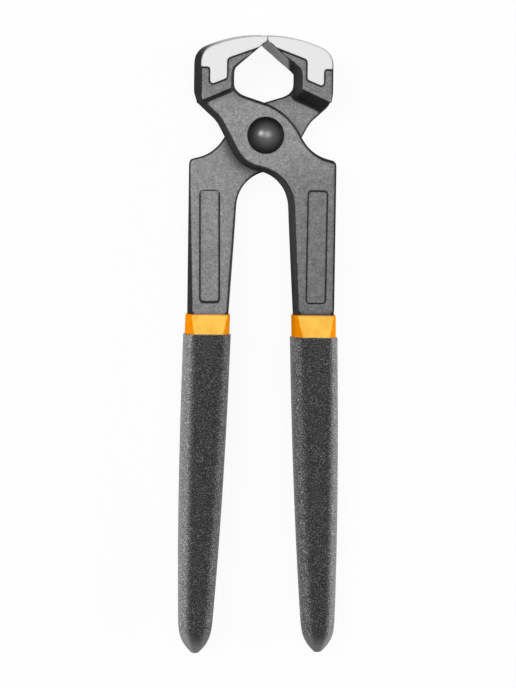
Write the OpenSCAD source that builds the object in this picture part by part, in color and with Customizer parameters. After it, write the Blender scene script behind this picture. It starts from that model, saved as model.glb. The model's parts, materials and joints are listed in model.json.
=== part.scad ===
// End cutting nippers: two like forgings in a lap joint, one rivet and twice-dipped handles.
// The tool lies on its back, closed: X runs across it, Y towards the jaws and Z up, in millimetres.

/* [Jaws] */
// Height of the top of the jaws above the pivot
jaw_rise = 32.4; // [30:0.2:38]
// Overall width across the two jaws
jaw_span = 45.2; // [42:0.2:52]
// Length of the cutting edges, which is the depth of the jaws
jaw_depth = 20; // [18:0.5:28]
// Width of the throat between the jaws
throat_w = 19; // [15:0.1:21]
// Height of the throat's side walls above the pivot, at their foot
jaw_foot = 12.5; // [12:0.1:13.4]
// Slope of the foot of each jaw, in degrees
foot_slope = 23.5; // [20:0.5:28]
// Height of the flat on which the two cutting edges meet
edge_flat = 1.5; // [0.6:0.1:2.4]
// Angle of the bevel below each cutting edge, in degrees
bevel_angle = 41; // [39:0.5:46]
// Radius of the outer top corner of a jaw
crown_r = 5.6; // [4:0.2:6.2]
// Gap left between the closed cutting edges
edge_gap = 0.1; // [0.05:0.01:0.3]
// Height of the ground pad over the blackened face round it
pad_h = 0.5; // [0.2:0.1:1]
// Width of the dark border outside the leg of the pad
pad_border = 2.5; // [1.6:0.1:3.6]
// Width of the leg of the pad
pad_leg_w = 5.7; // [3:0.1:6.4]
// Height of the foot of the pad's leg above the pivot
pad_foot = 15.3; // [14.8:0.1:17]
// Height of the shoulder of the pad above the pivot
pad_shoulder = 21; // [19:0.1:23]

/* [Joint] */
// Thickness of each half of the lap joint
plate_t = 7.5; // [6:0.1:8.4]
// Radius of the round boss at the lower side of the joint
boss_r = 11.45; // [10.5:0.1:12.5]
// Radius of the boss at the upper side of the joint
upper_boss_r = 10; // [9.4:0.1:10.4]
// Gap between the two halves of the lap joint
lap_gap = 0.1; // [0.05:0.01:0.2]
// Diameter of the rivet's shank
shank_d = 8; // [5:0.1:9]
// Diameter of the rivet's heads
head_d = 11.9; // [10:0.1:13]
// Height of the domed front head
head_h = 3.5; // [2:0.1:5]
// Height of the rear head
rear_head_h = 1.9; // [1:0.1:2.2]
// Running clearance round the shank and under the front head, in the lever that turns
run_clear = 0.05; // [0.02:0.01:0.09]
// Clearance round the shank in the lever that holds the rivet
seat_clear = 0.02; // [0.01:0.01:0.05]

/* [Arms] */
// Distance from the pivot to the outer side of each arm
arm_x = 23.9; // [23:0.1:27]
// Width of an arm where the collar starts
arm_w = 13.45; // [11:0.1:14]
// Thickness of an arm where the collar starts
arm_t = 12; // [9:0.1:14]
// Distance from the pivot down to the shoulder of each arm
shoulder_y = 7.55; // [7:0.05:8.5]
// Distance from the pivot down to the start of the ramps that thicken the arms
ramp_y = 14; // [13:0.1:17]
// Distance from the pivot down to the collar
collar_y = 57.6; // [56:0.2:75]
// Radius of the arch between the arms
arch_r = 11.9; // [10.5:0.1:12.5]
// Draft of the forging, in degrees
draft = 7; // [3:0.5:8]
// Width of the sunk panel on each face of an arm
panel_w = 6.3; // [4:0.1:7]
// Length of the sunk panel
panel_l = 36.2; // [20:0.2:37]
// Depth of the sunk panel
panel_d = 0.45; // [0.2:0.05:0.8]
// Distance from the arm's outer side to the middle of the panel
panel_x = 6.8; // [6.5:0.05:7.3]
// Distance from the pivot down to the middle of the panel
panel_y = 35.5; // [34.5:0.1:36.5]

/* [Handles] */
// Distance from the pivot down to the tips of the handles
handle_y = 167.6; // [150:0.2:190]
// Distance from the pivot down to the end of the steel tang in the grip
tang_y = 160.4; // [140:0.2:162]
// Half width of the tang at its end
tang_end_w = 4.3; // [3.4:0.1:5]
// Half thickness of the tang at its end
tang_end_t = 4.1; // [3:0.1:5]
// Distance across the tool from the pivot to the tip of each handle
tip_x = 20.1; // [18:0.1:24]
// Step by which the tang is thinner than the arm, on each side
tang_step = 0.25; // [0.1:0.05:0.4]
// Thickness of the first coat, which shows as the collar
inner_coat = 0.75; // [0.5:0.05:1.2]
// Thickness of the second, textured coat
outer_coat = 0.45; // [0.35:0.05:1.5]
// Gap between a coat and what it covers
coat_gap = 0.02; // [0.01:0.01:0.1]
// Length of collar that the second coat leaves bare on the left handle
left_collar_l = 6.2; // [3:0.1:12]
// Length of collar that the second coat leaves bare on the right handle
right_collar_l = 7; // [3:0.1:12]
// Length of the rounded end of each grip
tip_l = 8.4; // [7.6:0.1:10]
// Size of the nub at the tip, as a share of the grip above it
nub = 0.2; // [0.1:0.05:0.4]

/* [Hidden] */
$fn = 96;

// Places in the part's frame: the pivot stands over the middle of the tool's length
pivot_y = (handle_y - jaw_rise) / 2;
face_z = jaw_depth / 2;
lap_z = lap_gap / 2;
jaw_x = jaw_span / 2;
throat_x = throat_w / 2;

// Draft of each wall of a jaw, from the middle of its depth to its face
inner_draft = 1.85;
outer_draft = 1.75;
foot_draft = 2.75;
neck_draft = 0;
crown_draft = 1.2;
top_draft = 1.1;
// Corners of a jaw
crown_slope = 22;
crown_x = 0.425 * jaw_x;
crown_arc_r = 1.81 * jaw_x;
throat_r = 2;
heel_r = 0.5;
heel_in = 3.6;
heel_up = 4.9;
face_past = 1.02;
// Neck and boss
root_y = jaw_foot + 6.3;
root_in = 0.3;
neck_slope = 42;
neck_l = 11.1;
neck_r = 8;
cheek_r = 5;
neck_angle = 208;
crotch_angle = 261.2;
v_slope = 17.5;
v_r = 5;
v_in = 0.5;
// Shoulder of the arm
shoulder_r = 1.2;
shoulder_l = 8.55;
shoulder_fall = 1.8;
waist_r = 13;
brow_r = 20.5;
brow_angle = 46;
brow_rise = 1.65;
// Ground pad, panel and tang
pad_r = 1;
pad_slope = 22;
pad_inner_rise = 2.9;
pad_tip_x = 2.6;
panel_r = 1;
bevel_start = 0.4;
bevel_run = 7;
bevel_grow = 0.7;
bevel_w = 0.41;
bevel_t = 0.41;
tang_end = 0.7;
tang_root = 3;
lip = 0.35;
lip_start = 0.75;

function unit(v) = v / norm(v);
function left_of(v) = [-v[1], v[0]];
function polar(r, a) = r * [cos(a), sin(a)];
function angle_of(v) = atan2(v[1], v[0]);
function xy(c) = [c[0], c[1]];
function arc(c, r, a0, a1, n) = [for (i = [0 : n]) c + polar(r, a0 + (a1 - a0) * i / n)];

// Arc of radius r that rounds the corner b between a and c
function fillet(a, b, c, r, n) =
    let (u = unit(a - b), v = unit(c - b), half = acos(u * v) / 2)
    let (o = b + unit(u + v) * r / sin(half))
    let (a0 = angle_of(b + u * r / tan(half) - o), a1 = angle_of(b + v * r / tan(half) - o))
    arc(o, r, a0, a0 + (a1 - a0 + 540) % 360 - 180, n);

// Outline of corners [x, y, radius], with each corner rounded by its own radius
function rounded(cs, n) =
    let (m = len(cs))
    [for (i = [0 : m - 1])
        each cs[i][2] > 0
            ? fillet(xy(cs[(i + m - 1) % m]), xy(cs[i]), xy(cs[(i + 1) % m]), cs[i][2], n)
            : [xy(cs[i])]];

// Point where the line through p along u meets the line through q along v
function meet(p, u, q, v) = p + u * ((q - p) * left_of(v)) / (u * left_of(v));

// Corners [x, y, radius, draft] with each side moved in by k times its own draft
function drafted(cs, k) =
    let (m = len(cs))
    [for (i = [0 : m - 1])
        let (a = cs[(i + m - 1) % m], b = cs[i], c = cs[(i + 1) % m])
        let (u = unit(xy(b) - xy(a)), v = unit(xy(c) - xy(b)))
        [each meet(xy(b) + left_of(u) * a[3] * k, u, xy(b) + left_of(v) * b[3] * k, v), b[2]]];

// Outline moved in by d all round
function inset(ps, d) =
    let (m = len(ps))
    [for (i = [0 : m - 1])
        let (p = left_of(unit(ps[i] - ps[(i + m - 1) % m])), q = left_of(unit(ps[(i + 1) % m] - ps[i])))
        ps[i] + (p + q) * d / (1 + p * q)];

function flipped(ps) = [for (i = [len(ps) - 1 : -1 : 0]) [-ps[i][0], ps[i][1]]];
function at_z(ps, z) = [for (p = ps) [p[0], p[1], z]];

// Jaw: corners of the right-hand jaw at the middle of its depth, with the draft of the side after each
edge_y = jaw_rise - top_draft - edge_flat;
function bevel_y(x) = edge_y - (x - edge_gap / 2) * tan(bevel_angle);
function foot_y(x) = jaw_foot - (x - throat_x) * tan(foot_slope);
jaw_corners = [
    [edge_gap / 2, edge_y, 0, 0],
    [throat_x, bevel_y(throat_x), throat_r, inner_draft],
    [throat_x, jaw_foot, 0, foot_draft],
    [jaw_x - heel_in, foot_y(jaw_x - heel_in), 0, neck_draft],
    [jaw_x, foot_y(jaw_x - heel_in) + heel_up, heel_r, outer_draft],
    [jaw_x, jaw_rise - (jaw_x - crown_x) * tan(crown_slope), crown_r, crown_draft],
    [crown_x, jaw_rise, crown_arc_r, top_draft],
    [edge_gap / 2, jaw_rise, 0, 0]];
function jaw_ring(k) = flipped(rounded(drafted(jaw_corners, k), 6));

// Border of the ground pad on the right-hand jaw, closed well outside the jaw
pad_out = jaw_x - outer_draft - pad_border;
pad_in = pad_out - pad_leg_w;
pad_inner = [pad_in, pad_shoulder + pad_inner_rise];
pad_tip = [pad_tip_x, bevel_y(pad_tip_x)];
pad_past = pad_tip + 4 * unit(pad_tip - pad_inner);
pad_border_corners = [
    [jaw_x + 2, 0, 0],
    [jaw_x + 2, pad_shoulder, 0],
    [pad_out, pad_shoulder, pad_r / 2],
    [pad_out, pad_foot, pad_r],
    [pad_in, pad_foot + pad_leg_w * tan(pad_slope), pad_r],
    [each pad_inner, pad_r],
    [each pad_past, 0],
    [pad_past[0], 0, 0]];

// Plan of the front lever below its jaw: neck, boss, arch, arm and shoulder, anticlockwise
boss_start = polar(boss_r, neck_angle);
neck_foot = boss_start + neck_l * polar(1, neck_angle - 90);
cheek_x = jaw_x - root_in;
cheek = [-cheek_x, neck_foot[1] + (neck_foot[0] + cheek_x) * tan(neck_slope)];
crotch = polar(boss_r, crotch_angle);
arch_c = polar(boss_r + arch_r, crotch_angle);
arm_foot = [arm_x - arm_w, -collar_y];
arch_end = angle_of(arm_foot - arch_c) + acos(arch_r / norm(arm_foot - arch_c));
shoulder = [arm_x, -shoulder_y];
waist = [arm_x - shoulder_l, shoulder_fall - shoulder_y];
brow = polar(upper_boss_r + brow_rise, brow_angle);
v_x = throat_x + v_in;
v_foot = [-v_x, brow[1] + (brow[0] + v_x) * tan(v_slope)];
root_inner = [-throat_x - inner_draft - 1, root_y];
root_outer = [-jaw_x + outer_draft + 1, root_y];
plan = concat(
    [root_outer],
    fillet([-cheek_x, root_y], cheek, neck_foot, cheek_r, 6),
    fillet(cheek, neck_foot, boss_start, neck_r, 6),
    arc([0, 0], boss_r, neck_angle, crotch_angle - 2, 10),
    arc(arch_c, arch_r, crotch_angle - 180, arch_end, 12),
    [arm_foot, [arm_x, -collar_y]],
    fillet([arm_x, -collar_y], shoulder, waist, shoulder_r, 4),
    fillet(shoulder, waist, brow, waist_r, 10),
    fillet(waist, brow, v_foot, brow_r, 10),
    fillet(brow, v_foot, [-v_x, root_y], v_r, 6),
    [root_inner]);

// Faces of an arm, as heights over the pivot's middle plane at a distance y below the pivot
ramp_run = collar_y - ramp_y;
front_fall = (plate_t - arm_t / 2) / ramp_run;
rear_fall = (lap_z + arm_t / 2) / ramp_run;
function front_z(y) = plate_t - (y - ramp_y) * front_fall;
function rear_z(y) = lap_z - (y - ramp_y) * rear_fall;
side_view = [[-collar_y, front_z(collar_y)], [-collar_y, rear_z(collar_y)], [-ramp_y, lap_z],
    [root_y, lap_z], [root_y, plate_t], [-ramp_y, plate_t]];
plan_top = max(plate_t, arm_t / 2) + 0.5;
plan_bottom = arm_t / 2 + 0.5;

// Tang: half width, half thickness and middle at a distance y below the pivot
core_w = arm_w / 2 - tang_step;
core_t = arm_t / 2 - tang_step;
function along(y) = max(0, min(1, (y - collar_y) / (tang_y - collar_y)));
function core_x(y) = let (x0 = arm_x - arm_w / 2) x0 + (tip_x - x0) * along(y);
function half_w(y) = core_w - (core_w - tang_end_w) * pow(along(y), 2.4);
function half_t(y) = core_t - (core_t - tang_end_t) * pow(along(y), 1.4);
function bevel(y) =
    (bevel_start + (1 - bevel_start) * min(1, max(0, y - collar_y) / bevel_run)) * (1 + bevel_grow * along(y));

// Bevelled section at y, shrunk by k, then grown by d all round
function section(y, k, d) =
    let (w = half_w(y) * k + d, t = half_t(y) * k + d)
    let (bw = bevel(y) * bevel_w * half_w(y) * k, bt = bevel(y) * bevel_t * half_t(y) * k)
    let (s = (t - bt) * tan(draft), r = 0.8 * min(bw, bt))
    rounded([
        [w, 0, 0], [w - s, t - bt, r], [w - bw - s / 2, t, r],
        [bw + s / 2 - w, t, r], [s - w, t - bt, r], [-w, 0, 0],
        [s - w, bt - t, r], [bw + s / 2 - w, -t, r],
        [w - bw - s / 2, -t, r], [w - s, bt - t, r]], 2);
function ring(y, k, d) = [for (p = section(y, k, d)) [core_x(y) + p[0], -y, p[1]]];

// Distances below the pivot at which the handle's rings stand: y0, the end of the widening bevel, and on to y1
function stations(y0, y1, n) =
    let (full = max(collar_y + bevel_run, y0 + 1))
    concat([y0], [for (i = [0 : n]) full + (y1 - full) * i / n]);
function core_rings(y0, d) = concat(
    [for (y = stations(y0, tang_y - 2, 12)) ring(y, 1, d)],
    [[for (p = ring(tang_y, tang_end, d)) p - [0, d, 0]]]);
function lip_rings(y0, d0, d1) = [ring(y0, 1, d0 + (d1 - d0) * lip_start)];
function tip_share(y) = 1 - (1 - nub) * pow((y - handle_y + tip_l) / tip_l, 2);
function tip_ring(y, d) =
    let (m = [core_x(y), -y, 0])
    [for (p = ring(y, 1, d)) m + (p - m) * tip_share(y)];

inner_d = coat_gap + inner_coat;
outer_d = inner_d + coat_gap + outer_coat;

// Solid skinned over rings that run upwards, each one anticlockwise seen from the last ring's side
function sides(from, m, count) = [for (k = [0 : count - 2], i = [0 : m - 1])
    let (a = from + k * m + i, b = from + k * m + (i + 1) % m)
    each [[a, a + m, b + m], [a, b + m, b]]];
function turned(faces) = [for (f = faces) [f[2], f[1], f[0]]];
function cap_face(from, m) = [[for (i = [0 : m - 1]) from + i]];
function end_face(from, m) = [[for (i = [m - 1 : -1 : 0]) from + i]];

module skin(rings) {
    m = len(rings[0]);
    count = len(rings);
    polyhedron(
        points = [for (r = rings) each r],
        faces = concat(cap_face(0, m), sides(0, m, count), end_face((count - 1) * m, m)));
}

// Closed-ended sleeve between outer and inner rings that start in one plane
module sleeve(outer, inner) {
    m = len(outer[0]);
    n = len(outer);
    rim = [for (i = [0 : m - 1])
        let (j = (i + 1) % m)
        each [[i, j, n * m + j], [i, n * m + j, n * m + i]]];
    polyhedron(
        points = [for (r = concat(outer, inner)) each r],
        faces = concat(
            rim,
            sides(0, m, n),
            end_face((n - 1) * m, m),
            turned(sides(n * m, m, len(inner))),
            cap_face((n + len(inner) - 1) * m, m)));
}

module at_pivot() {
    translate([0, pivot_y, face_z]) children();
}

// Turns a piece of the front lever's side over to the rear lever's side
module turned_over() {
    rotate([0, 180, 0]) children();
}

// Drafted block that reaches past both faces of the jaw, cut flat at the faces
module jaw() {
    intersection() {
        skin([
            at_z(jaw_ring(face_past), -face_past * face_z),
            at_z(jaw_ring(0), 0),
            at_z(jaw_ring(face_past), face_past * face_z)]);
        translate([-jaw_span, 0, -face_z])
            cube([2 * jaw_span, 2 * jaw_rise, jaw_depth]);
    }
}

module neck_and_arm() {
    intersection() {
        skin([
            at_z(inset(plan, plan_bottom * tan(draft)), -plan_bottom),
            at_z(plan, 0),
            at_z(inset(plan, plan_top * tan(draft)), plan_top)]);
        translate([-jaw_span, 0, 0])
            rotate([90, 0, 90])
                linear_extrude(2 * jaw_span)
                    polygon(side_view);
    }
}

module tang() {
    skin(concat([ring(collar_y - tang_root, 0.8, 0)], core_rings(collar_y, 0)));
}

// Cuts the dark border down from the ground pad, on the upper face
module pad_border_cut() {
    translate([0, 0, face_z - pad_h])
        linear_extrude(2 * pad_h)
            polygon(flipped(rounded(pad_border_corners, 4)));
}

// Cutter for a sunk panel on a face at height z that falls by the given share of y
module panel_cut(z, fall, up) {
    translate([arm_x - panel_x, -panel_y, z])
        rotate([atan(fall), 0, 0])
            translate([0, 0, up ? -panel_d : panel_d - 1])
                linear_extrude(1)
                    polygon(rounded([
                        [panel_w / 2, -panel_l / 2, panel_r], [panel_w / 2, panel_l / 2, panel_r],
                        [-panel_w / 2, panel_l / 2, panel_r], [-panel_w / 2, -panel_l / 2, panel_r]], 4));
}

module lever(bore_d) {
    difference() {
        union() {
            jaw();
            neck_and_arm();
            tang();
        }
        translate([0, 0, -1])
            cylinder(d = bore_d, h = plate_t + 2);
        pad_border_cut();
        mirror([0, 0, 1]) pad_border_cut();
        panel_cut(front_z(panel_y), front_fall, true);
        panel_cut(rear_z(panel_y), rear_fall, false);
    }
}

// Head of the rivet: a cap of a sphere that stands on z = 0
module rivet_head(h) {
    r = (head_d * head_d / 4 + h * h) / (2 * h);
    intersection() {
        translate([0, 0, h - r]) sphere(r = r);
        cylinder(d = head_d + 1, h = h + 1);
    }
}

module inner_sleeve() {
    sleeve(
        concat(lip_rings(collar_y + coat_gap, coat_gap, inner_d), core_rings(collar_y + lip, inner_d)),
        core_rings(collar_y + coat_gap, coat_gap));
}

module grip(collar_l) {
    grip_y = collar_y + collar_l;
    tip_from = handle_y - tip_l;
    sleeve(
        concat(
            lip_rings(grip_y, inner_d, outer_d),
            [for (y = stations(grip_y + lip, tip_from - 1, 12)) ring(y, 1, outer_d)],
            [for (i = [0 : 6]) tip_ring(tip_from + tip_l * i / 6, outer_d)]),
        core_rings(grip_y, inner_d + coat_gap));
}

module front_lever() {
    color("DimGray") at_pivot() lever(shank_d + 2 * run_clear);
}

module rear_lever() {
    color("DimGray") at_pivot() turned_over() lever(shank_d + 2 * seat_clear);
}

module pivot_rivet() {
    color("#2b2b2d") at_pivot() union() {
        translate([0, 0, -plate_t])
            cylinder(d = shank_d, h = 2 * plate_t + run_clear);
        translate([0, 0, plate_t + run_clear]) rivet_head(head_h);
        translate([0, 0, -plate_t]) mirror([0, 0, 1]) rivet_head(rear_head_h);
    }
}

module left_inner_sleeve() {
    color("Orange") at_pivot() turned_over() inner_sleeve();
}

module right_inner_sleeve() {
    color("Orange") at_pivot() inner_sleeve();
}

module left_grip() {
    color("#3a3a3b") at_pivot() turned_over() grip(left_collar_l);
}

module right_grip() {
    color("#3a3a3b") at_pivot() grip(right_collar_l);
}

front_lever();
rear_lever();
pivot_rivet();
left_inner_sleeve();
right_inner_sleeve();
left_grip();
right_grip();
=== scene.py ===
import bpy
import json
from math import radians, sqrt
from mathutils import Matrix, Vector


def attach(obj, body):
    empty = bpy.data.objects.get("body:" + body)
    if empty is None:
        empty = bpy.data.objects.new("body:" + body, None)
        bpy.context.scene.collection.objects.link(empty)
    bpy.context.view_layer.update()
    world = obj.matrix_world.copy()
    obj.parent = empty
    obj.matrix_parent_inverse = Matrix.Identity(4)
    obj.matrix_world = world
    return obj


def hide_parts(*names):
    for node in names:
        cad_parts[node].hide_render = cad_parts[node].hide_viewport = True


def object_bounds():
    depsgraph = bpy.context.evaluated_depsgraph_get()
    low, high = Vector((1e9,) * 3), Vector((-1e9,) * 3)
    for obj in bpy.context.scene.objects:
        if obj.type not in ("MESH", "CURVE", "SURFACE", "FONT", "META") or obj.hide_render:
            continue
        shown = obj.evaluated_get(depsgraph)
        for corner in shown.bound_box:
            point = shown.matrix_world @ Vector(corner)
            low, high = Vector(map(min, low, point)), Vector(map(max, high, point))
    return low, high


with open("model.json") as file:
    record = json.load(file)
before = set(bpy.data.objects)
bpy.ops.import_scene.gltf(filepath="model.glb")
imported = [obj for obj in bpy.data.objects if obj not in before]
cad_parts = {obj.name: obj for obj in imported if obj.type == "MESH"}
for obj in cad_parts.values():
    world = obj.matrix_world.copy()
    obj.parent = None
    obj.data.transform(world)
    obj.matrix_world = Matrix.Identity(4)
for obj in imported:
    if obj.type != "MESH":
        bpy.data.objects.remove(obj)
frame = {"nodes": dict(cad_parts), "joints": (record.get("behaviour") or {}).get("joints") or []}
cadBox = [list(corner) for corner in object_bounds()]
print("frame loaded:", sorted(frame["nodes"]))

mm = 0.001
pivotX, pivotY, pivotZ = frame["joints"][0]["pos_m"]
weldReach = 0.002 * mm
smoothFactor = 0.5
noiseRange = (0.3, 0.7)  # most of a noise texture's values lie here
coolness = 1.01  # blue of a grey, against its red and green


def pickOnly(piece):
    bpy.ops.object.select_all(action='DESELECT')
    piece.select_set(True)
    bpy.context.view_layer.objects.active = piece


def applyAll(piece):
    pickOnly(piece)
    for step in list(piece.modifiers):
        bpy.ops.object.modifier_apply(modifier=step.name)


# a welded copy of a solid, to be softened like the real forging or dip
def copyOfSolid(nodeName, pieceName):
    piece = bpy.data.objects.new(pieceName, frame["nodes"][nodeName].data.copy())
    bpy.context.scene.collection.objects.link(piece)
    pickOnly(piece)
    piece.data.materials.clear()
    bpy.ops.mesh.customdata_custom_splitnormals_clear()
    bpy.ops.object.mode_set(mode='EDIT')
    bpy.ops.mesh.select_all(action='SELECT')
    bpy.ops.mesh.remove_doubles(threshold=weldReach)
    bpy.ops.object.mode_set(mode='OBJECT')
    return piece


# 0 to 1 while the value goes from low to high, soft at both ends
def ramp(value, low, high):
    share = min(1, max(0, (value - low) / (high - low)))
    return share * share * (3 - 2 * share)


def smoothStep(piece, name, passes):
    step = piece.modifiers.new(name, 'SMOOTH')
    step.factor = smoothFactor
    step.iterations = passes
    return step


# fine even skin, worn round at the edges but less at fine detail, then thinned where it is flat
def softenEdges(piece, settings, roundShare=None):
    coarse = 1  # a value above 1 gives a coarser skin
    pickOnly(piece)
    piece.data.remesh_voxel_size = settings["grain"] * coarse
    bpy.ops.object.voxel_remesh()
    smoothStep(piece, "wear", max(1, settings["passes"] // coarse ** 2))
    if roundShare:
        plain = piece.vertex_groups.new(name="plain")
        tenths = {}
        for point in piece.data.vertices:
            tenths.setdefault(round(roundShare(point.co) * 10), []).append(point.index)
        for tenth, points in tenths.items():
            plain.add(points, tenth / 10, 'REPLACE')
        rounding = smoothStep(piece, "rounding", settings["rounding"] // coarse ** 2)
        rounding.vertex_group = plain.name
    if coarse == 1:
        thin = piece.modifiers.new("thin", 'DECIMATE')
        thin.ratio = settings["keep"]
    applyAll(piece)
    piece.vertex_groups.clear()
    bpy.ops.object.shade_smooth()
    print(piece.name, "triangles:", sum(len(face.vertices) - 2 for face in piece.data.polygons))


def newFinish(name):
    finish = bpy.data.materials.new(name)
    finish.use_nodes = True
    finish.node_tree.nodes.clear()
    return finish


def put(tree, kind, spot, **values):
    node = tree.nodes.new(kind)
    node.location = spot
    for key, value in values.items():
        setattr(node, key, value)
    return node


# a plain value is set on the socket, and anything else is linked to it
def feed(tree, value, socket):
    if isinstance(value, (int, float, tuple)):
        socket.default_value = value
    else:
        tree.links.new(value, socket)


def calc(tree, spot, operation, first, second=None, clamp=False):
    node = put(tree, 'ShaderNodeMath', spot, operation=operation, use_clamp=clamp)
    feed(tree, first, node.inputs[0])
    if second is not None:
        feed(tree, second, node.inputs[1])
    return node.outputs[0]


# one operation over a row of values
def calcRow(tree, spot, operation, first, *others):
    for i, other in enumerate(others):
        first = calc(tree, (spot[0] + 150 * i, spot[1]), operation, first, other)
    return first


def vectorCalc(tree, spot, operation, first, second=None):
    node = put(tree, 'ShaderNodeVectorMath', spot, operation=operation)
    feed(tree, first, node.inputs[0])
    if second is not None:
        feed(tree, second, node.inputs['Scale' if operation == 'SCALE' else 1])
    return node.outputs['Value' if operation == 'LENGTH' else 0]


# 0 to 1 while the value goes from the first limit to the second, soft at both ends
def fade(tree, spot, value, limits):
    node = put(tree, 'ShaderNodeMapRange', spot, interpolation_type='SMOOTHSTEP')
    tree.links.new(value, node.inputs['Value'])
    node.inputs['From Min'].default_value, node.inputs['From Max'].default_value = limits
    return node.outputs['Result']


# straight scale of a value between two limits to two results
def span(tree, spot, value, results, limits=(0, 1)):
    node = put(tree, 'ShaderNodeMapRange', spot, interpolation_type='LINEAR')
    tree.links.new(value, node.inputs['Value'])
    node.inputs['From Min'].default_value, node.inputs['From Max'].default_value = limits
    node.inputs['To Min'].default_value, node.inputs['To Max'].default_value = results
    return node.outputs['Result']


def mixTint(tree, spot, share, first, second):
    node = put(tree, 'ShaderNodeMix', spot, data_type='RGBA', blend_type='MIX')
    feed(tree, share, node.inputs[0])
    feed(tree, first, node.inputs[6])
    feed(tree, second, node.inputs[7])
    return node.outputs[2]


def grainy(tree, spot, vector, scale, detail, roughness):
    node = put(tree, 'ShaderNodeTexNoise', spot)
    tree.links.new(vector, node.inputs['Vector'])
    node.inputs['Scale'].default_value = scale
    node.inputs['Detail'].default_value = detail
    node.inputs['Roughness'].default_value = roughness
    return node.outputs['Fac']


def grey(value):
    return (value, value, value * coolness, 1.0)


def splitUp(tree, spot, vector):
    node = put(tree, 'ShaderNodeSeparateXYZ', spot)
    tree.links.new(vector, node.inputs[0])
    return node.outputs


def axisDistance(tree, spot, place):
    offset = vectorCalc(tree, spot, 'SUBTRACT', place, (pivotX, pivotY, 0))
    inPlan = vectorCalc(tree, (spot[0] + 150, spot[1]), 'MULTIPLY', offset, (1, 1, 0))
    return vectorCalc(tree, (spot[0] + 300, spot[1]), 'LENGTH', inPlan)


def bumpFrom(tree, spot, height, strength, depth):
    bump = put(tree, 'ShaderNodeBump', spot)
    bump.inputs['Strength'].default_value = strength
    bump.inputs['Distance'].default_value = depth
    tree.links.new(height, bump.inputs['Height'])
    return bump.outputs[0]


def closeFinish(tree, spot, sockets):
    skin = put(tree, 'ShaderNodeBsdfPrincipled', spot)
    for name, value in sockets.items():
        feed(tree, value, skin.inputs[name])
    out = put(tree, 'ShaderNodeOutputMaterial', (spot[0] + 300, spot[1]))
    tree.links.new(skin.outputs[0], out.inputs[0])


def inMetres(sizes):
    return [size * mm for size in sizes]


def abovePivot(heights):
    return [pivotY + height * mm for height in heights]


# blackened forging: sanded faces, dark walls and edges, bright ground pads and cutting edges
forging = {
    "wall": 0.034, "paintedLitInnerWall": 0.064, "face": 0.215, "ground": 0.48, "edgeGround": 0.28, "dieLine": 0.12,
    # shares of the face's tone that painted shade leaves on some parts of it
    "jawShadeShare": 0.74, "armFootShadeShare": 0.8, "rightArmShadeShare": 0.76, "cornerShadeShare": 0.5,
    # noise has a scale, detail and roughness, and gives a range of tones
    "grain": (1700.0, 3.0, 0.6), "grainTone": (0.65, 1.35),
    "blotch": (420.0, 4.0, 0.6), "blotchTone": (0.84, 1.16),
    "metal": (0.03, 0.45), "rough": (0.6, 0.48), "gloss": 0.0,
    "bump": 0.35, "bumpDepth": 0.12 * mm, "groundLift": 0.08,
    # a zone starts at its first value and is full at its second: by normal
    "flatFacing": (0.9, 0.985), "bevelFacing": (0.9, 0.97), "crownFacing": (0.3, 0.6),
    "rimFacing": (0.0, 0.2), "cornerFacing": (0.0, -0.5), "dieFacing": (0.5, 0.2),
    "inwardFacing": (-0.3, -0.8), "bevelSideways": 0.656, "bevelDown": 0.755,
    # by millimetres above the pivot
    "bevelUp": (18.5, 20.5), "crownUp": (24, 27), "rimUp": (21, 21.6), "jawUp": (8, 14),
    "armLengthUp": (-6, -57), "armUp": (-2, -16), "cornerUp": (3, 0.5), "dieUp": (-12, -16),
    # by millimetres over the table, out from the middle plane, across the tool or from the rivet's axis
    "padFront": (19.7, 19.88), "padRear": (0.3, 0.12), "rimOut": (8.9, 9.3), "cornerOut": (4, 2),
    "dieOut": (0.45, 0.15), "edgeReach": (8.8, 7.4), "crownReach": (22.0, 12.5), "tipReach": (1.2, 0.5),
    "rightArmX": (-4, 12), "cornerRadius": (14.8, 11.8),
    "edgeLean": 0.14,  # how far the reach of the bevels shifts with the height off the middle plane
}


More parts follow.
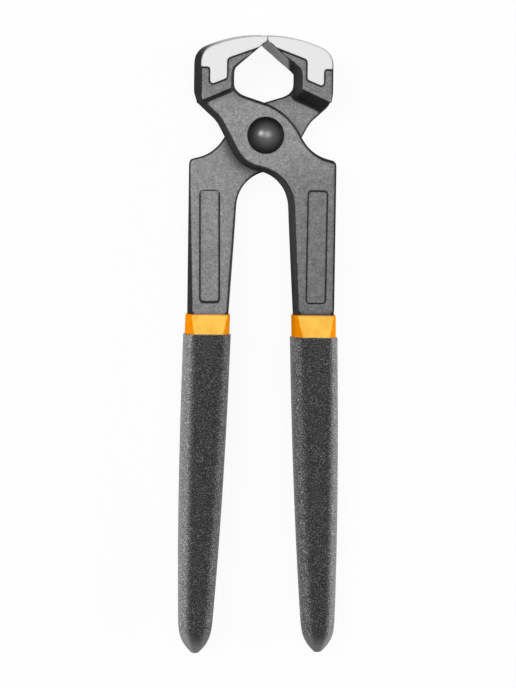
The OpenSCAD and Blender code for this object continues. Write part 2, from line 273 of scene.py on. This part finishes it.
def forgedFinish():
    finish = newFinish("forgedSteel")
    tree = finish.node_tree
    source = put(tree, 'ShaderNodeTexCoord', (-1900, 0))
    place = source.outputs['Object']
    x, y, z = splitUp(tree, (-1700, 100), place)
    nx, ny, nz = splitUp(tree, (-1700, -200), source.outputs['Normal'])

    def zone(spot, value, name):
        return fade(tree, spot, value, forging[name])

    def zoneUp(spot, name):
        return fade(tree, spot, y, abovePivot(forging[name]))

    def zoneOut(spot, value, name):
        return fade(tree, spot, value, inMetres(forging[name]))

    def toneLeft(spot, share, name):
        return span(tree, spot, share, (1.0, forging[name]))

    acrossX = calc(tree, (-1500, 200), 'ABSOLUTE', x)
    sideways = calc(tree, (-1500, -150), 'ABSOLUTE', nx)
    upright = calc(tree, (-1500, -300), 'ABSOLUTE', nz)
    hand = calc(tree, (-1300, 750), 'SIGN', x)
    offMiddle = calc(tree, (-1300, 600), 'SUBTRACT', z, pivotZ)
    offLine = calc(tree, (-1300, -1100), 'ABSOLUTE', offMiddle)
    flat = zone((-1300, -300), upright, "flatFacing")

    # pads on both faces of the jaws
    padFront = zoneOut((-1300, 300), z, "padFront")
    padRear = zoneOut((-1300, 450), z, "padRear")
    pad = calc(tree, (-950, 350), 'MULTIPLY', calc(tree, (-1100, 350), 'MAXIMUM', padFront, padRear), flat)

    # bevels under the cutting edges
    lean = calc(tree, (-1300, -50), 'MULTIPLY', sideways, forging["bevelSideways"])
    drop = calc(tree, (-1300, 80), 'MULTIPLY', ny, forging["bevelDown"])
    bevelWay = zone((-950, 0), calc(tree, (-1100, 0), 'SUBTRACT', lean, drop), "bevelFacing")
    skew = calcRow(tree, (-1150, 600), 'MULTIPLY', offMiddle, hand, forging["edgeLean"])
    reach = calc(tree, (-850, 600), 'ADD', acrossX, skew)
    bevel = calcRow(tree, (-800, 80), 'MULTIPLY', bevelWay, zoneUp((-950, 150), "bevelUp"),
                    zoneOut((-700, 600), reach, "edgeReach"))

    # crown, ground towards the tips, and the bright rim where it meets the pads
    crownPlace = zoneUp((-950, -350), "crownUp")
    crown = calcRow(tree, (-800, -250), 'MULTIPLY', zone((-950, -200), ny, "crownFacing"), crownPlace,
                    zoneOut((-950, -500), acrossX, "crownReach"))
    outward = calc(tree, (-1150, -450), 'ADD', ny, calc(tree, (-1300, -450), 'MULTIPLY', nx, hand))
    rim = calcRow(tree, (-800, -450), 'MULTIPLY', zone((-950, -650), outward, "rimFacing"),
                  zoneUp((-950, -800), "rimUp"), zoneOut((-1150, -600), offLine, "rimOut"))
    tip = calc(tree, (-650, -600), 'MULTIPLY', zoneOut((-800, -600), acrossX, "tipReach"), crownPlace)
    crown = calcRow(tree, (-500, -300), 'MAXIMUM', crown, rim, tip)

    # grain and blotches
    grain = grainy(tree, (-1300, -700), place, *forging["grain"])
    blotch = grainy(tree, (-1300, -900), place, *forging["blotch"])
    grainTone = span(tree, (-1100, -700), grain, forging["grainTone"], noiseRange)
    blotchTone = span(tree, (-1100, -900), blotch, forging["blotchTone"], noiseRange)

    # painted shade: darker on the jaws, down the arms and most on the right arm, than round the joint
    jawShadeTone = toneLeft((-1100, -1550), zoneUp((-1300, -1550), "jawUp"), "jawShadeShare")
    armLimits = abovePivot(forging["armLengthUp"])
    armShadeTone = span(tree, (-1100, -1700), y, (1.0, forging["armFootShadeShare"]), armLimits)
    rightArm = calc(tree, (-950, -1850), 'MULTIPLY', zoneUp((-1300, -1850), "armUp"),
                    zoneOut((-1100, -1950), x, "rightArmX"))
    rightArmShadeTone = toneLeft((-800, -1850), rightArm, "rightArmShadeShare")

    # painted shade in the corner beside the other lever's boss, standing for the shadow under its step
    facing = calc(tree, (-1200, -2350), 'MULTIPLY', nz, hand)
    radius = axisDistance(tree, (-1500, -2100), place)
    corner = calcRow(tree, (-900, -2100), 'MULTIPLY', zoneOut((-1050, -2100), radius, "cornerRadius"),
                     zoneUp((-1050, -2250), "cornerUp"), zone((-1050, -2400), facing, "cornerFacing"),
                     zoneOut((-1050, -2550), offLine, "cornerOut"))
    paintedCornerShadeTone = toneLeft((-400, -2100), corner, "cornerShadeShare")
    tone = calcRow(tree, (-900, -800), 'MULTIPLY',
                   grainTone, blotchTone, jawShadeTone, armShadeTone, rightArmShadeTone, paintedCornerShadeTone)

    # line where the dies met, on the walls of the arms
    dieLine = calcRow(tree, (-950, -1100), 'MULTIPLY', zoneOut((-1100, -1100), offLine, "dieOut"),
                      zone((-1100, -1250), upright, "dieFacing"), zoneUp((-1100, -1400), "dieUp"))

    # painted light: walls facing the other jaw or arm are lighter, as if lit through the gap
    paintedLightInward = zone((-900, -50), calc(tree, (-1050, -50), 'MULTIPLY', nx, hand), "inwardFacing")
    walls = mixTint(tree, (-750, -50), paintedLightInward, grey(forging["wall"]), grey(forging["paintedLitInnerWall"]))
    tint = mixTint(tree, (-600, -50), flat, walls, grey(forging["face"]))
    tint = mixTint(tree, (-450, -50), dieLine, tint, grey(forging["dieLine"]))
    tint = vectorCalc(tree, (-300, -100), 'SCALE', tint, tone)
    tint = mixTint(tree, (-150, 0), bevel, tint, grey(forging["edgeGround"]))
    bright = calc(tree, (-150, 200), 'MAXIMUM', pad, crown)
    tint = mixTint(tree, (0, 0), bright, tint, grey(forging["ground"]))

    ground = calc(tree, (-300, 300), 'MAXIMUM', bright, bevel)
    cleaned = calc(tree, (-300, 450), 'MAXIMUM', flat, ground)
    lift = calc(tree, (-300, -400), 'MULTIPLY', grain, toneLeft((-450, -400), ground, "groundLift"))
    closeFinish(tree, (250, 0), {
        'Base Color': tint,
        'Metallic': span(tree, (-150, 400), cleaned, forging["metal"]),
        'Roughness': span(tree, (-150, 600), ground, forging["rough"]),
        'Specular IOR Level': forging["gloss"],
        'Normal': bumpFrom(tree, (0, -400), lift, forging["bump"], forging["bumpDepth"]),
    })
    return finish


# second dip: fine pebbled black, with painted light making it grey at the sides
blackDip = {
    "black": 0.01, "speck": 0.115, "bare": 0.034, "speckFrom": (0.49, 0.68),
    "paintedSideLift": (1.0, 3.0), "paintedSideSheen": (0.02, 0.096), "paintedSheenFacing": (-0.35, 0.35), "sideFacing": (0.997, 0.72),
    "paintedSheenGrain": (0.7, 1.3), "paintedSheenGrainFrom": (0.35, 0.65),
    "pebble": (2700.0, 2.0, 0.6), "bump": 0.8, "bumpDepth": 0.1 * mm, "bareTip": (4.0, 8.0),
    "patch": (190.0, 3.0, 0.55), "patchTone": (0.85, 1.15),
    "gloss": 0.18, "rough": (0.62, 0.46), "sheen": 0.2, "sheenRough": 0.3,
}


def blackFinish():
    finish = newFinish("pebbledBlack")
    tree = finish.node_tree
    source = put(tree, 'ShaderNodeTexCoord', (-1200, 0))
    place = source.outputs['Object']
    at = splitUp(tree, (-950, -700), place)
    way = splitUp(tree, (-950, -500), source.outputs['Normal'])
    pebble = grainy(tree, (-950, 0), place, *blackDip["pebble"])
    patch = grainy(tree, (-950, -250), place, *blackDip["patch"])

    # the pebbling runs out before the tips
    tipLimits = [cadBox[0][1] + size for size in inMetres(blackDip["bareTip"])]
    pebbled = fade(tree, (-780, -900), at['Y'], tipLimits)
    speck = fade(tree, (-700, 100), pebble, blackDip["speckFrom"])
    tint = mixTint(tree, (-450, 100), speck, grey(blackDip["black"]), grey(blackDip["speck"]))
    tint = mixTint(tree, (-350, 250), pebbled, grey(blackDip["bare"]), tint)

    # painted light: lighter at the sides, and most on the outer ones
    paintedLightSide = fade(tree, (-600, -500), calc(tree, (-780, -500), 'ABSOLUTE', way['Z']), blackDip["sideFacing"])
    outward = calc(tree, (-600, -700), 'MULTIPLY', way['X'], calc(tree, (-780, -700), 'SIGN', at['X']))
    paintedSideSheen = calcRow(tree, (-300, -650), 'MULTIPLY',
                  span(tree, (-450, -700), outward, blackDip["paintedSideSheen"], blackDip["paintedSheenFacing"]), paintedLightSide,
                  span(tree, (-300, -850), pebble, blackDip["paintedSheenGrain"], blackDip["paintedSheenGrainFrom"]))
    lifted = span(tree, (-450, -450), paintedLightSide, blackDip["paintedSideLift"])
    cloud = span(tree, (-450, -150), patch, blackDip["patchTone"], noiseRange)
    tint = vectorCalc(tree, (-250, 100), 'SCALE', tint, calc(tree, (-300, -250), 'MULTIPLY', cloud, lifted))
    tint = vectorCalc(tree, (-100, 100), 'ADD', tint, paintedSideSheen)

    height = calc(tree, (-400, -350), 'MULTIPLY', pebble, pebbled)
    closeFinish(tree, (0, 0), {
        'Base Color': tint,
        'Roughness': span(tree, (-250, 350), pebble, blackDip["rough"], noiseRange),
        'Specular IOR Level': blackDip["gloss"],
        'Sheen Weight': blackDip["sheen"],
        'Sheen Roughness': blackDip["sheenRough"],
        'Normal': bumpFrom(tree, (-250, -300), height, blackDip["bump"], blackDip["bumpDepth"]),
    })
    return finish


# first dip: smooth orange, pale on the front with a painted reflection, deeper at the sides and where it
# sagged
orangeDip = {
    "paleWithPaintedReflection": (0.93, 0.54, 0.09, 1.0), "deep": (0.76, 0.23, 0.0, 1.0), "sideFacing": (0.99, 0.74),
    "sag": (260.0, 2.0, 0.5), "sagFrom": (0.35, 0.65), "sagShare": (-0.12, 0.25),
    "fine": (1700.0, 2.0, 0.5), "fineShare": 0.15,
    "bump": 0.12, "bumpDepth": 0.2 * mm, "rough": (0.34, 0.44), "gloss": 0.0,
}


def orangeFinish():
    finish = newFinish("orangeVinyl")
    tree = finish.node_tree
    source = put(tree, 'ShaderNodeTexCoord', (-1000, 0))
    place = source.outputs['Object']
    way = splitUp(tree, (-950, 300), source.outputs['Normal'])
    sag = grainy(tree, (-750, 0), place, *orangeDip["sag"])
    fine = grainy(tree, (-750, -250), place, *orangeDip["fine"])
    paintedLightSide = fade(tree, (-600, 300), calc(tree, (-780, 300), 'ABSOLUTE', way['Z']), orangeDip["sideFacing"])
    sagged = span(tree, (-600, 120), sag, orangeDip["sagShare"], orangeDip["sagFrom"])
    # painted reflection: the front keeps the pale tint; the sides and the sagged places take the deep one
    deep = calc(tree, (-450, 250), 'ADD', paintedLightSide, sagged, clamp=True)
    fineHeight = calc(tree, (-600, -350), 'MULTIPLY', fine, orangeDip["fineShare"])
    height = calc(tree, (-450, -250), 'ADD', sag, fineHeight)
    closeFinish(tree, (0, 0), {
        'Base Color': mixTint(tree, (-300, 100), deep, orangeDip["paleWithPaintedReflection"], orangeDip["deep"]),
        'Roughness': span(tree, (-250, 300), fine, orangeDip["rough"], noiseRange),
        'Specular IOR Level': orangeDip["gloss"],
        'Normal': bumpFrom(tree, (-300, -250), height, orangeDip["bump"], orangeDip["bumpDepth"]),
    })
    return finish


# rivet: painted shade makes its heads darker and less shiny out towards the rim, round a brighter middle
rivetSkin = {
    "dark": 0.088, "light": 0.104, "rim": 0.01, "rimRadius": (1.4, 5.4), "metal": (1.0, 0.25),
    "cloud": (700.0, 4.0, 0.6), "fine": (3000.0, 2.0, 0.6), "bump": 0.12, "bumpDepth": 0.08 * mm,
    "rough": (0.3, 0.34), "gloss": 0.1,
}


def rivetFinish():
    finish = newFinish("rivetBlack")
    tree = finish.node_tree
    place = put(tree, 'ShaderNodeTexCoord', (-1000, 0)).outputs['Object']
    cloud = grainy(tree, (-750, 0), place, *rivetSkin["cloud"])
    fine = grainy(tree, (-750, -250), place, *rivetSkin["fine"])
    # painted shade: darker and less metallic from the middle of each head out to its rim
    rim = fade(tree, (-300, 300), axisDistance(tree, (-750, 300), place), inMetres(rivetSkin["rimRadius"]))
    clouded = span(tree, (-550, 150), cloud, (0, 1), noiseRange)
    tint = mixTint(tree, (-400, 100), clouded, grey(rivetSkin["dark"]), grey(rivetSkin["light"]))
    closeFinish(tree, (0, 0), {
        'Base Color': mixTint(tree, (-200, 100), rim, tint, grey(rivetSkin["rim"])),
        'Metallic': span(tree, (-150, 300), rim, rivetSkin["metal"]),
        'Roughness': span(tree, (-250, 450), cloud, rivetSkin["rough"], noiseRange),
        'Specular IOR Level': rivetSkin["gloss"],
        'Normal': bumpFrom(tree, (-300, -250), fine, rivetSkin["bump"], rivetSkin["bumpDepth"]),
    })
    return finish


steel = forgedFinish()
black = blackFinish()
orange = orangeFinish()
rivetBlack = rivetFinish()
print("finishes made")

# two levers, one forging used twice; places in millimetres from the pivot
leverSkin = {
    "grain": 0.26 * mm, "passes": 4, "rounding": 100, "keep": 0.45,
    "padOut": (9.4, 8.6), "padShare": 0.06,
    "jawUp": 10, "throatX": 9.5, "throatTop": 30.3, "throatSlope": 0.869, "throatLean": 0.755,
    "throatEdge": (1.6, 1.0), "throatReach": (5, 9),
    "panelX": 17.1, "panelHalfW": (4.5, 4.0), "panelUp": -35.5, "panelHalfL": (19.5, 18.7),
    "panelShare": 0.85,
    "collarUp": -57.6, "aboveCollar": (0.6, 0.3), "belowCollar": (-1.6, -1.0),
}


# worn round all over, less at the pads, the panels and the ends of the arms
def leverRound(place):
    across, up, out = abs(place.x - pivotX) / mm, (place.y - pivotY) / mm, abs(place.z - pivotZ) / mm
    share = max(leverSkin["padShare"], ramp(out, *leverSkin["padOut"]))
    if up > leverSkin["jawUp"]:
        overSlope = up - leverSkin["throatTop"] + across * leverSkin["throatSlope"]
        inFromThroat = max(across - leverSkin["throatX"], overSlope * leverSkin["throatLean"])
        atThroat = ramp(inFromThroat, *leverSkin["throatEdge"]) * ramp(across, *leverSkin["throatReach"])
        share = max(share, atThroat)
    atPanel = ramp(abs(across - leverSkin["panelX"]), *leverSkin["panelHalfW"])
    atPanel *= ramp(abs(up - leverSkin["panelUp"]), *leverSkin["panelHalfL"])
    fromCollar = up - leverSkin["collarUp"]
    atCollar = ramp(fromCollar, *leverSkin["aboveCollar"]) * ramp(fromCollar, *leverSkin["belowCollar"])
    return share * (1 - leverSkin["panelShare"] * atPanel) * (1 - atCollar)


for nodeName, pieceName, body in (
    ("front_lever", "frontLever", "front_half"),
    ("rear_lever", "rearLever", "rear_half"),
):
    lever = copyOfSolid(nodeName, pieceName)
    softenEdges(lever, leverSkin, leverRound)
    lever.data.materials.append(steel)
    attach(lever, body)
    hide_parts(nodeName)

# orange dips, which show as collars
collarSkin = {
    "grain": 0.26 * mm, "passes": 6, "keep": 0.3,
    "rimY": pivotY - 57.6 * mm, "wick": 0.3 * mm, "wickReach": 0.8 * mm,
}


# the first coat wicked a little way up over the end of the arm
def wickUp(piece):
    for point in piece.data.vertices:
        nearRim = (point.co.y - collarSkin["rimY"]) / collarSkin["wickReach"] + 1
        point.co.y += collarSkin["wick"] * min(1, max(0, nearRim))


for nodeName, pieceName, body in (
    ("left_inner_sleeve", "leftCollar", "rear_half"),
    ("right_inner_sleeve", "rightCollar", "front_half"),
):
    collar = copyOfSolid(nodeName, pieceName)
    softenEdges(collar, collarSkin)
    wickUp(collar)
    collar.data.materials.append(orange)
    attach(collar, body)
    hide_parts(nodeName)

# black dips over them
gripSkin = {
    "grain": 0.28 * mm, "passes": 6, "rounding": 300, "keep": 0.35,
    "tipY": cadBox[0][1], "leftTopY": pivotY - 63.8 * mm, "rightTopY": pivotY - 64.6 * mm,
    "tipRound": (2 * mm, 9 * mm), "topRound": (0.3 * mm, 2 * mm),
    "swell": 0.1 * mm, "swellFrom": (2 * mm, 12 * mm), "drip": 0.06 * mm, "dripFrom": (9 * mm, 0),
}


# rounded by the thick dip, less at the tip and at the top rim
def gripRound(place):
    topY = gripSkin["leftTopY"] if place.x < 0 else gripSkin["rightTopY"]
    atTip = ramp(place.y - gripSkin["tipY"], *gripSkin["tipRound"])
    return atTip * ramp(topY - place.y, *gripSkin["topRound"])


# the dip is full along its length and drew out a little at the tip as it hung
def drawOut(piece):
    moves = [point.normal * gripSkin["swell"] for point in piece.data.vertices]
    for point, move in zip(piece.data.vertices, moves):
        fromTip = point.co.y - gripSkin["tipY"]
        point.co += move * ramp(fromTip, *gripSkin["swellFrom"])
        point.co.y -= gripSkin["drip"] * ramp(fromTip, *gripSkin["dripFrom"])


for nodeName, pieceName, body in (
    ("left_grip", "leftGrip", "rear_half"),
    ("right_grip", "rightGrip", "front_half"),
):
    grip = copyOfSolid(nodeName, pieceName)
    softenEdges(grip, gripSkin, gripRound)
    drawOut(grip)
    grip.data.materials.append(black)
    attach(grip, body)
    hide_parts(nodeName)
print("levers, collars and grips made")

# rivet in millimetres: half section turned round the pivot
rivet = {
    "headR": 5.95, "frontH": 3.5, "frontRows": 18, "rearH": 1.9, "rearRows": 14,
    "shankR": 4.0, "plate": 7.5, "under": 0.05, "steps": 96,
    # the dome ends a little inside the head, whose edge then rolls under
    "domeIn": 0.105, "edgeIn": 0.02, "edgeUp": 0.15, "footIn": 0.12,
    "weldReach": 0.001,
    "sharpFrom": 40,  # degrees
}


def capSection(radius, height, rows):
    ball = (radius * radius + height * height) / (2 * height)
    points = []
    for i in range(rows + 1):
        r = (radius - rivet["domeIn"]) * i / rows
        points.append((r, sqrt(ball * ball - r * r) - ball + height))
    points.append((radius - rivet["edgeIn"], rivet["edgeUp"]))
    points.append((radius - rivet["footIn"], 0.0))
    return points


def makeRivet():
    frontCap = capSection(rivet["headR"], rivet["frontH"], rivet["frontRows"])
    rearCap = capSection(rivet["headR"], rivet["rearH"], rivet["rearRows"])
    front = [(r, rivet["plate"] + rivet["under"] + h) for r, h in frontCap]
    rear = [(r, -rivet["plate"] - h) for r, h in rearCap]
    section = front + [(rivet["shankR"], front[-1][1]), (rivet["shankR"], rear[-1][1])] + rear[::-1]
    corners = [(r * mm, 0, h * mm) for r, h in section]
    mesh = bpy.data.meshes.new("pivotRivet")
    mesh.from_pydata(corners, [(i, i + 1) for i in range(len(corners) - 1)], [])
    piece = bpy.data.objects.new("pivotRivet", mesh)
    bpy.context.scene.collection.objects.link(piece)
    pickOnly(piece)
    bpy.ops.object.mode_set(mode='EDIT')
    bpy.ops.mesh.select_all(action='SELECT')
    bpy.ops.mesh.spin(steps=rivet["steps"], angle=radians(360), center=(0, 0, 0), axis=(0, 0, 1))
    bpy.ops.mesh.select_all(action='SELECT')
    bpy.ops.mesh.remove_doubles(threshold=rivet["weldReach"] * mm)
    bpy.ops.mesh.normals_make_consistent(inside=False)
    bpy.ops.object.mode_set(mode='OBJECT')
    piece.location = (pivotX, pivotY, pivotZ)
    bpy.ops.object.transform_apply(location=True, rotation=True, scale=True)
    bpy.ops.object.shade_smooth_by_angle(angle=radians(rivet["sharpFrom"]))
    piece.data.materials.append(rivetBlack)
    return piece


pin = makeRivet()
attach(pin, "rear_half")
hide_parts("pivot_rivet")
print("rivet made")

# table, sky and lamps
studio = {
    "floorSize": 6,
    "floorCuts": 3,
    "floor": 0.86,
    "floorGlow": 0.93,
    "sky": 0.12,
    "lamps": [
        # name, place in metres, aim, size, watts, shows in gloss
        ("keyLeft", (-0.46, 0.26, 0.95), (0, 0.03, 0), 0.34, 4.9, True),
        ("keyRight", (0.2, 0.16, 1.05), (0, 0.03, 0), 0.5, 3.5, True),
        ("sideLeft", (-0.62, -0.05, 0.16), (0, -0.03, 0.01), 0.36, 2.4, False),
        ("sideRight", (0.62, -0.05, 0.18), (0, -0.03, 0.01), 0.36, 3.4, False),
    ],
}


# 1 where the camera, a reflection or glass sees the backdrop, 0 where it only lights
def seenDirectly(tree):
    rays = put(tree, 'ShaderNodeLightPath', (-800, 300))
    kinds = [rays.outputs[name] for name in ('Is Camera Ray', 'Is Glossy Ray', 'Is Transmission Ray')]
    return calcRow(tree, (-600, 300), 'MAXIMUM', *kinds)


def makeFloor():
    bpy.ops.object.select_all(action='DESELECT')
    bpy.ops.mesh.primitive_plane_add(size=studio["floorSize"], location=(0, 0, 0))
    floor = bpy.context.object
    floor.name = "floor"
    bpy.ops.object.mode_set(mode='EDIT')
    bpy.ops.mesh.subdivide(number_cuts=studio["floorCuts"])
    bpy.ops.object.mode_set(mode='OBJECT')
    finish = newFinish("paleFloor")
    tree = finish.node_tree
    share = calc(tree, (-250, 300), 'MULTIPLY', seenDirectly(tree), studio["floorGlow"])
    matte = put(tree, 'ShaderNodeBsdfDiffuse', (-250, 0))
    matte.inputs['Color'].default_value = (studio["floor"], studio["floor"], studio["floor"], 1)
    glow = put(tree, 'ShaderNodeEmission', (-250, -150))
    glow.inputs['Strength'].default_value = 1.0
    mixed = put(tree, 'ShaderNodeMixShader', (0, 0))
    tree.links.new(share, mixed.inputs[0])
    tree.links.new(matte.outputs[0], mixed.inputs[1])
    tree.links.new(glow.outputs[0], mixed.inputs[2])
    out = put(tree, 'ShaderNodeOutputMaterial', (250, 0))
    tree.links.new(mixed.outputs[0], out.inputs[0])
    floor.data.materials.append(finish)


def makeSky():
    sky = bpy.data.worlds.new("sky")
    sky.use_nodes = True
    bpy.context.scene.world = sky
    tree = sky.node_tree
    tree.nodes.clear()
    strength = calc(tree, (-200, 200), 'MAXIMUM', seenDirectly(tree), studio["sky"])
    back = put(tree, 'ShaderNodeBackground', (0, 0))
    back.inputs['Color'].default_value = (1, 1, 1, 1)
    tree.links.new(strength, back.inputs['Strength'])
    out = put(tree, 'ShaderNodeOutputWorld', (200, 0))
    tree.links.new(back.outputs[0], out.inputs[0])


def makeLamps():
    for name, place, aim, size, watts, inGloss in studio["lamps"]:
        data = bpy.data.lights.new(name, 'AREA')
        data.size = size
        data.energy = watts
        lamp = bpy.data.objects.new(name, data)
        bpy.context.scene.collection.objects.link(lamp)
        lamp.location = place
        lamp.rotation_euler = (Vector(aim) - Vector(place)).to_track_quat('-Z', 'Y').to_euler()
        lamp.visible_camera = False
        lamp.visible_glossy = inGloss


# camera at the photograph's place
eye = {
    "place": (-76.1, 37.14, 698.7),  # millimetres
    "turn": (-3.1047, -6.2029, 0.7763),  # degrees
    "lens": 112.15, "sensor": 36,
    "nearest": 0.01,  # metres
}


def makeCamera():
    data = bpy.data.cameras.new("camera")
    data.lens = eye["lens"]
    data.sensor_width = eye["sensor"]
    data.clip_start = eye["nearest"]
    camera = bpy.data.objects.new("camera", data)
    bpy.context.scene.collection.objects.link(camera)
    camera.location = inMetres(eye["place"])
    camera.rotation_euler = [radians(value) for value in eye["turn"]]
    bpy.context.scene.camera = camera


makeFloor()
makeSky()
makeLamps()
makeCamera()
bpy.context.scene.view_settings.view_transform = 'Standard'
print("studio made")
